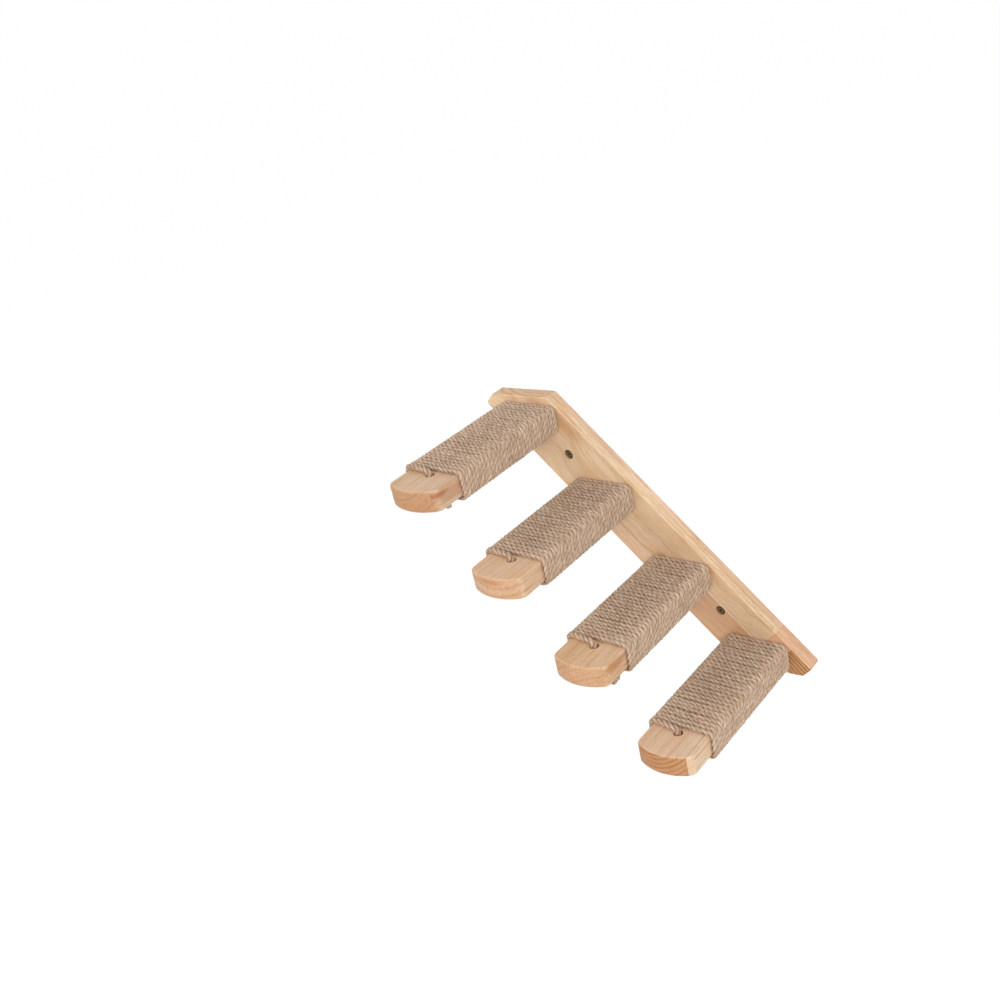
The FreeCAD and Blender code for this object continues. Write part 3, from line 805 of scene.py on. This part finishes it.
def modified(piece, kind, **settings):
    """Adds a modifier, sets it and applies it."""
    modifier = piece.modifiers.new("shape", kind)
    for key, setting in settings.items():
        setattr(modifier, key, setting)
    bpy.context.view_layer.objects.active = piece
    bpy.ops.object.modifier_apply(modifier="shape")


screw = drawn("threaded_screw", SCREW_OUTLINE)
bpy.ops.mesh.spin(steps=SCREW_SIDES, angle=2 * math.pi, center=(0, 0, 0), axis=(0, 1, 0))
closed_up()
for quarter in range(2):
    bpy.ops.object.select_all(action="DESELECT")
    bpy.ops.mesh.primitive_cube_add(size=MM, location=(0, HEAD_TOP * MM, 0))
    bar = bpy.context.object
    bpy.ops.object.mode_set(mode="EDIT")
    bpy.ops.transform.resize(value=CROSS_BAR)
    bpy.ops.mesh.select_all(action="DESELECT")
    bpy.ops.object.mode_set(mode="OBJECT")
    for face in bar.data.polygons:
        face.select = face.normal.y > 0.9
    bpy.ops.object.mode_set(mode="EDIT")
    bpy.ops.transform.resize(value=CROSS_TAPER)
    bpy.ops.mesh.select_all(action="SELECT")
    bpy.ops.transform.rotate(value=quarter * math.pi / 2, orient_axis="Y", center_override=(0, 0, 0))
    bpy.ops.object.mode_set(mode="OBJECT")
    modified(screw, "BOOLEAN", operation="DIFFERENCE", solver="EXACT", object=bar)
    bpy.data.objects.remove(bar)
print("screw body has", len(screw.data.polygons), "faces")

# %% [markdown]
# The ridge of the thread is a small wedge that the Screw modifier carries
# round and along the rod. A thread runs out to nothing at both of its ends,
# so the ridge is drawn in there: at its start until it sinks into the rod,
# and along the point until it is almost gone.

# %% Thread of a wall screw
THREAD_STEP, THREAD_FROM, THREAD_SHORT = 2.2, 1.5, 1.2
THREAD_FOOT, THREAD_CREST = 1.45, 2.2
FOOT_HALF, CREST_HALF = 0.45, 0.06
THREAD_SIDES = 24
START_RUN, START_SLIM = 6, 0.7
POINT_SLIM = 0.12

thread = drawn("thread", (
    (THREAD_FOOT, THREAD_FROM - FOOT_HALF), (THREAD_CREST, THREAD_FROM - CREST_HALF),
    (THREAD_CREST, THREAD_FROM + CREST_HALF), (THREAD_FOOT, THREAD_FROM + FOOT_HALF)))
bpy.ops.mesh.edge_face_add()
bpy.ops.mesh.delete(type="ONLY_FACE")
bpy.ops.object.mode_set(mode="OBJECT")
modified(thread, "SCREW", axis="Y", angle=2 * math.pi, screw_offset=THREAD_STEP * MM,
         iterations=int((POINT - THREAD_SHORT - THREAD_FROM) / THREAD_STEP),
         steps=THREAD_SIDES, render_steps=THREAD_SIDES)
bpy.ops.object.mode_set(mode="EDIT")
closed_up(holes=4)
for spot in thread.data.vertices:
    depth = spot.co.y / MM
    at_start = START_SLIM + (depth - THREAD_FROM) / START_RUN
    at_point = POINT_SLIM + (1 - POINT_SLIM) * (POINT - depth) / (POINT - POINT_FROM)
    slim = min(1, at_start, at_point)
    spot.co.x *= slim
    spot.co.z *= slim
bpy.ops.object.select_all(action="DESELECT")
thread.select_set(True)
screw.select_set(True)
bpy.context.view_layer.objects.active = screw
bpy.ops.object.join()
bpy.ops.object.shade_smooth_by_angle(angle=math.radians(35))
print("threaded screw has", len(screw.data.polygons), "faces")

# %% [markdown]
# The screw is copied to its two places, each time with a mesh of its own and
# turned a little, because no two screws stop at the same angle.

# %% Screws in the board
threaded = []
for place, twist in (("upper", 25), ("lower", 70)):
    bpy.ops.object.select_all(action="DESELECT")
    screw.select_set(True)
    bpy.context.view_layer.objects.active = screw
    bpy.ops.object.duplicate()
    copy = bpy.context.object
    copy.name = f"threaded_screw_{place}"
    low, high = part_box(f"wall_screw_{place}")
    copy.rotation_euler = (0, math.radians(twist), 0)
    copy.location = ((low.x + high.x) / 2, 0, (low.z + high.z) / 2)
    bpy.ops.object.transform_apply(location=True, rotation=True, scale=False)
    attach(copy, "root")
    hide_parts(f"wall_screw_{place}")
    threaded.append(copy)
bpy.data.objects.remove(screw)
print("screws placed:", [piece.name for piece in threaded])

# %% [markdown]
# The wall screws are browned steel, the step screws are zinc plated and the
# staples are bright wire. Turned and drawn metal is never one even grey: fine
# scratches and a patchy plating change how it shines, so both feed the
# roughness.

# %% Metal finishes
SCRATCH_RELIEF = 0.03 * MM


def plated(name, tone, dull, worn):
    """Metal with fine scratches and a cloudy plating."""
    f = Finish(name)
    fine = f.noise(f.place(stretch=(900, 160, 900)), 1.0, 3, 0.6)
    cloudy = f.noise(f.place(), 420.0, 2)
    base = f.shaded(cloudy.ramp(0.35, 0.7) * worn, tone, 0.72, 0.66, 0.58)
    return f.finish(base, dull + fine * 0.18 + cloudy * 0.1, f.bump(fine, SCRATCH_RELIEF, 0.5), Metallic=1.0)


wall_steel = plated("wall_screw_bronze", colour(112, 98, 74), 0.42, 0.9)
step_steel = plated("step_screw_zinc", colour(196, 190, 176), 0.26, 0.5)
wire_steel = plated("staple_wire", colour(186, 184, 180), 0.28, 0.4)
for piece in threaded:
    wear(piece, wall_steel)
for node_name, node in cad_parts.items():
    if node_name.startswith("step_screw"):
        wear(node, step_steel)
    elif node_name.startswith("rope_staple"):
        wear(node, wire_steel)
print("metal finished")

# %% [markdown]
# The ladder hangs on a wall, but a wall would hide its back, so it is shown
# free above a plain pale floor. The floor is lit like the ladder and keeps
# its shadow. Where the camera sees floor or sky, directly or in something
# shiny, a little light is added to make them white. That light shows in
# reflections only and does not otherwise brighten the ladder.

# %% Floor
FLOOR_SIZE, FLOOR_DROP = 200, 0.5
FLOOR_GREY = (0.84, 0.84, 0.84, 1)
WHITE_LEVEL, WHITE_PART = 1.12, 0.8
SEEN_RAYS = ("Is Camera Ray", "Is Glossy Ray", "Is Transmission Ray")

bpy.ops.object.select_all(action="DESELECT")
bpy.ops.mesh.primitive_plane_add(size=FLOOR_SIZE, location=(0, 0, solid_box[0].z - FLOOR_DROP))
floor = bpy.context.object
floor.name = "floor"
f = Finish("pale_floor")
f.feed(f.shader.inputs["Base Color"], FLOOR_GREY)
f.feed(f.shader.inputs["Roughness"], 0.9)
path = f.node("ShaderNodeLightPath").outputs
seen = Value(f, path[SEEN_RAYS[0]])
for kind in SEEN_RAYS[1:]:
    seen = f.math("MAXIMUM", seen, Value(f, path[kind]))
white = f.node("ShaderNodeEmission", {}, {"Color": (1, 1, 1, 1), "Strength": WHITE_LEVEL})
both = f.node("ShaderNodeMixShader", {}, {0: seen * WHITE_PART, 1: f.shader.outputs[0], 2: white.outputs[0]})
f.feed(f.tree.nodes["Material Output"].inputs["Surface"], both.outputs[0])
wear(floor, f.material)
print("floor at", round(floor.location.z, 3))

# %% [markdown]
# The light is soft and comes from everywhere, with a large panel to the right
# of the camera and a weaker one to its left, so that colours come out about
# as they are written and shadows stay light.

# %% Light
SKY_LIGHT, SKY_SEEN = 0.55, 1.0

world = bpy.data.worlds.new("studio")
bpy.context.scene.world = world
world.use_nodes = True
tree = world.node_tree
sky = tree.nodes["Background"]
path = tree.nodes.new("ShaderNodeLightPath")
looked_at = path.outputs[SEEN_RAYS[0]]
for kind in SEEN_RAYS[1:]:
    either = tree.nodes.new("ShaderNodeMath")
    either.operation = "MAXIMUM"
    tree.links.new(looked_at, either.inputs[0])
    tree.links.new(path.outputs[kind], either.inputs[1])
    looked_at = either.outputs[0]
level = tree.nodes.new("ShaderNodeMapRange")
tree.links.new(looked_at, level.inputs["Value"])
level.inputs["To Min"].default_value = SKY_LIGHT
level.inputs["To Max"].default_value = SKY_SEEN
tree.links.new(level.outputs[0], sky.inputs["Strength"])
sky.inputs["Color"].default_value = (1, 1, 1, 1)


def panel(name, place, size, power):
    """A square lamp that faces the ladder."""
    bpy.ops.object.light_add(type="AREA", location=place)
    lamp = bpy.context.object
    lamp.name = name
    lamp.data.shape = "SQUARE"
    lamp.data.size = size
    lamp.data.energy = power
    lamp.rotation_euler = (-Vector(place)).to_track_quat("-Z", "Y").to_euler()
    return lamp


lamps = [
    panel("right_panel", (1.7, -1.7, 1.3), size=1.4, power=39),
    panel("left_panel", (-1.4, -2.1, 1.3), size=1.6, power=20)]
print("lamps:", len(lamps))

# %% [markdown]
# Last, the size of the solids is printed.

# %% Sizes
print("solids", [round(v, 4) for corner in solid_box for v in corner])
